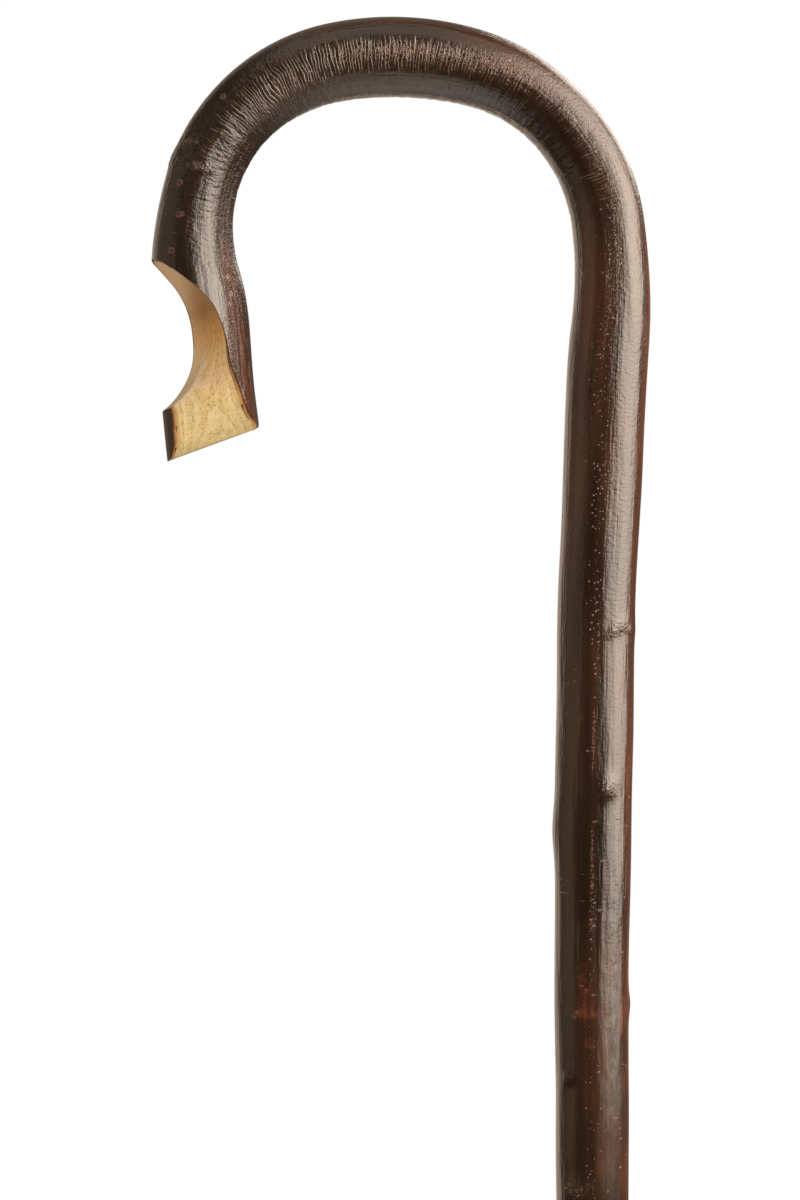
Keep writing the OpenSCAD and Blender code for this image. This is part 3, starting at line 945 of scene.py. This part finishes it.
brad_height = 54.8 * mm
brads = turned("ferrule_brads_driven", [
    (0, 10.72), (0.7, 10.66), (1.25, 10.48), (1.6, 10.22), (1.62, 10.05), (0.7, 10.0),
    (0.7, 3.9), (0, 2.9)], 0, steps=24)
edit_mode(True)
pick_all()
bpy.ops.mesh.duplicate()
bpy.ops.transform.rotate(value=math.pi, orient_axis="X", center_override=(0, 0, 0))
pick_all()
bpy.ops.transform.rotate(value=math.pi / 2, orient_axis="X", center_override=(0, 0, 0))
bpy.ops.transform.translate(value=(0, 0, brad_height))
face_outwards()
edit_mode(False)

# Bright wire steel: hammered heads with small dents about 0.8 mm across and a little brown in them.
tree, shader = new_material("bright_wire_steel", brads)
place = add_node("TexCoord").node.outputs["Object"]
dents = add_node("TexVoronoi", [place, 1 / (0.8 * mm)])
tone = set_ramp(add_node("ValToRGB", [dents]), (0.0, "#b4b2ac"), (1.0, "#8b8071"))
finish(tone, dents, (0, 1, 0.25, 0.45), dents, 0.08 * mm)
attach(brads, "crook")
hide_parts("ferrule_brads")


# Rubber foot
# A push-on cap moulded from black rubber. It has three raised ribs to grip it by, a thick lip round
# its mouth, and two round grooves in its tread.


def rib(wall_low, low, wall_high, high):
    """A raised rib on a wall that leans: points of a profile that goes up."""
    across = np.linspace(0, 1, 9)
    return [(wall_low + (wall_high - wall_low) * a + 0.75 * math.sin(math.pi * a)**0.8,
             low + (high - low) * a) for a in across]


cap = turned("rubber_foot_moulded", [
    (0, 0), (5.7, 0), (5.9, 1.5), (7.1, 1.5), (7.3, 0), (10.7, 0), (10.9, 1.5), (12.1, 1.5), (12.3, 0),
    (14.8, 0), (15.6, 0.5), (16, 1.6), (16, 7.4), (15.2, 9.4),
    *rib(14.95, 15, 14.75, 18.2), *rib(14.6, 20.6, 14.4, 23.8), *rib(14.25, 26.2, 14.05, 29.4),
    (13.35, 39.6), (13.5, 40.4), (13.9, 41.2), (14.0, 42.4), (14.0, 44.2), (13.6, 45.4), (12.8, 45.8),
    (10.9, 45.8), (10.15, 44.9), (10.15, 23.8), (6.8, 23.8), (6.8, 6), (0, 6)], 0.35 * mm)

# Moulded black rubber: matt charcoal with a fine pebble from the mould, drawn at 0.6 mm so that it
# shows, cloudy bloom about 8 mm across, and grey dust worn into the tread.
tree, shader = new_material("moulded_black_rubber", cap)
place = add_node("TexCoord").node.outputs["Object"]
up_foot = add_node("SeparateXYZ", [place]).node.outputs["Z"]
bloom = add_node("TexNoise", [place, 1 / (8 * mm), 5])
pebble = add_node("TexNoise", [place, 1 / (0.6 * mm), 2])
tone = set_ramp(add_node("ValToRGB", [bloom]), (0.35, "#19191a"), (0.75, "#2b2b2c"))
drift = add_node("Math", [bloom, -8 * mm, up_foot], "MULTIPLY_ADD")
dust = add_node("MapRange", [drift, -4.5 * mm, 2 * mm, 0.55, 0])
dusty = add_node("Mix", [dust, tone, "#6d675f"], data_type="RGBA")
finish(dusty, bloom, (0.3, 0.7, 0.5, 0.72), pebble, 0.12 * mm, metallic=0)
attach(cap, "foot")
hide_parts("rubber_foot")


# Foot washer
# A stamped steel disc that lies in the bottom of the rubber foot, so that the spike doesn't cut
# through it. The spike has dinted its middle.

disc = turned("foot_washer_stamped", [
    (0, 7.2), (0.6, 7.22), (1.3, 7.45), (2.0, 7.5), (6.2, 7.5), (6.6, 7.25), (6.7, 6.6), (6.7, 6.0),
    (0, 6.0)], 0.1 * mm, steps=64)

# Stamped plated steel: bright, with a fine scratch pattern 1 mm apart and a brown stain under the tip.
tree, shader = new_material("stamped_plated_steel", disc)
place = add_node("TexCoord").node.outputs["Object"]
drawn_out = add_node("Mapping", {"Vector": place, "Scale": (0.08, 1, 1)})
scratches = add_node("TexNoise", [drawn_out, 1 / (1 * mm), 4])
flat_place = add_node("Mapping", {"Vector": place, "Scale": (1, 1, 0)})
from_tip = add_node("VectorMath", [flat_place], "LENGTH")
stain = add_node("MapRange", [from_tip, 0.8 * mm, 4 * mm, 0.8, 0])
stained = add_node("Mix", [stain, "#a9aaa8", "#5c4a38"], data_type="RGBA")
finish(stained, scratches, (0.3, 0.7, 0.25, 0.45), scratches, 0.02 * mm)
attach(disc, "foot")
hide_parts("foot_washer")


# Studio
# The crook is held upright over a pale floor, high enough for its rubber foot to be pulled off. Large
# soft lights stand to its right, over it and behind it, with a weak one to its left, and there is white
# all round, which the floor fades into.

floor_drop = 46 * mm
bpy.ops.object.select_all(action="DESELECT")
bpy.ops.mesh.primitive_circle_add(vertices=128, radius=1.6, fill_type="NGON", location=(0, 0, -floor_drop))
floor = bpy.context.object
floor.name = "floor"

# Pale floor paper, which fades into the white round it, in reflections too. They show that white dimmer
# than the camera does.
white_in_gloss = 0.047
tree, shader = new_material("pale_floor", floor)
place = add_node("TexCoord").node.outputs["Object"]
from_foot = add_node("VectorMath", [place], "LENGTH")
faded = add_node("MapRange", [from_foot, 0.1, 1], interpolation_type="SMOOTHSTEP")
far = add_node("MapRange", [from_foot, 0.5, 1.55], interpolation_type="SMOOTHSTEP")
rays = add_node("LightPath").node.outputs
far_in_gloss = add_node("Math", [far, rays["Is Glossy Ray"]], "MULTIPLY")
away_share = add_node("Mix", [rays["Is Camera Ray"], far_in_gloss, faded])
glow = add_node("MapRange", [rays["Is Camera Ray"], 0, 1, white_in_gloss, 1])
white = add_node("Emission", ["#ffffff", glow])
sweep = add_node("MixShader", [away_share, shader.outputs[0], white])
set_inputs(shader, {"Base Color": "#ecf0f4", "Roughness": 0.8})
set_inputs(tree.nodes["Material Output"], {"Surface": sweep})


def softbox(name, place, target, width, height, watts, spread, code="#fff4e8"):
    """A soft rectangular light at a place, turned to a target, that fades to its sides."""
    bpy.ops.object.light_add(type="AREA", location=place)
    light = bpy.context.object
    light.name = name
    light.rotation_euler = (Vector(target) - Vector(place)).to_track_quat("-Z", "Y").to_euler()
    light.data.shape = "RECTANGLE"
    light.data.size = width
    light.data.size_y = height
    light.data.energy = watts
    light.data.spread = spread * deg
    light.data.color = colour(code)[:3]


hook_middle = (-0.06, 0, 1.1)
softbox("right_softbox", (0.63, -0.457, 1.374), (-0.072, -0.187, 1.1), 1.55, 1.3, 13.6, 104)
softbox("top_softbox", (-0.1, -0.3, 2.3), hook_middle, 1.4, 1.0, 2.4, 180)
softbox("left_card", (-1.1, -0.25, 1.2), hook_middle, 1.0, 1.2, 1.2, 180, "#ffdfc2")
softbox("rim_softbox", (0.65, 1.12, 1.86), hook_middle, 0.8, 0.8, 6, 180)

# The white round it: full for the camera, about half as strong as a light, and dim in reflections, but
# for a glow behind the crook on its left
world = bpy.data.worlds.new("studio")
bpy.context.scene.world = world
world.use_nodes = True
tree = world.node_tree
rays = add_node("LightPath").node.outputs
in_gloss = add_node("Math", [rays["Is Glossy Ray"], rays["Is Transmission Ray"]], "MAXIMUM")
facing = add_node("SeparateXYZ", [add_node("TexCoord").node.outputs["Generated"]]).node.outputs
behind = add_node("MapRange", [facing["Y"], 0.3, 0.7])
leftward = add_node("MapRange", [facing["X"], -0.1, 0.4, 0.9, 0.1])
low = add_node("MapRange", [facing["Z"], 0.15, 0.6, 1, 0.25])
behind_left = add_node("Math", [behind, leftward], "MULTIPLY")
gloss_glow = add_node("Math", [behind_left, low, white_in_gloss], "MULTIPLY_ADD")
soft = add_node("Mix", [in_gloss, 0.52, gloss_glow])
strength = add_node("Mix", [rays["Is Camera Ray"], soft, 1])
warmth = add_node("Mix", [in_gloss, "#fff4e8", "#ffe8d2"], data_type="RGBA")
tint = add_node("Mix", [rays["Is Camera Ray"], warmth, "#ffffff"], data_type="RGBA")
set_inputs(tree.nodes["Background"], {"Color": tint, "Strength": strength})

view_middle = Vector((-65.45 * mm, 0, 1020.8 * mm))
view_height = 408 * mm
camera_away = 1.2
bpy.ops.object.camera_add(location=view_middle + Vector((0, -camera_away, 0)))
camera = bpy.context.object
camera.rotation_euler = (math.pi / 2, 0, 0)
camera.data.sensor_width = 36
camera.data.lens = camera.data.sensor_width * camera_away / view_height
bpy.context.scene.camera = camera
bpy.context.scene.view_settings.view_transform = "Standard"
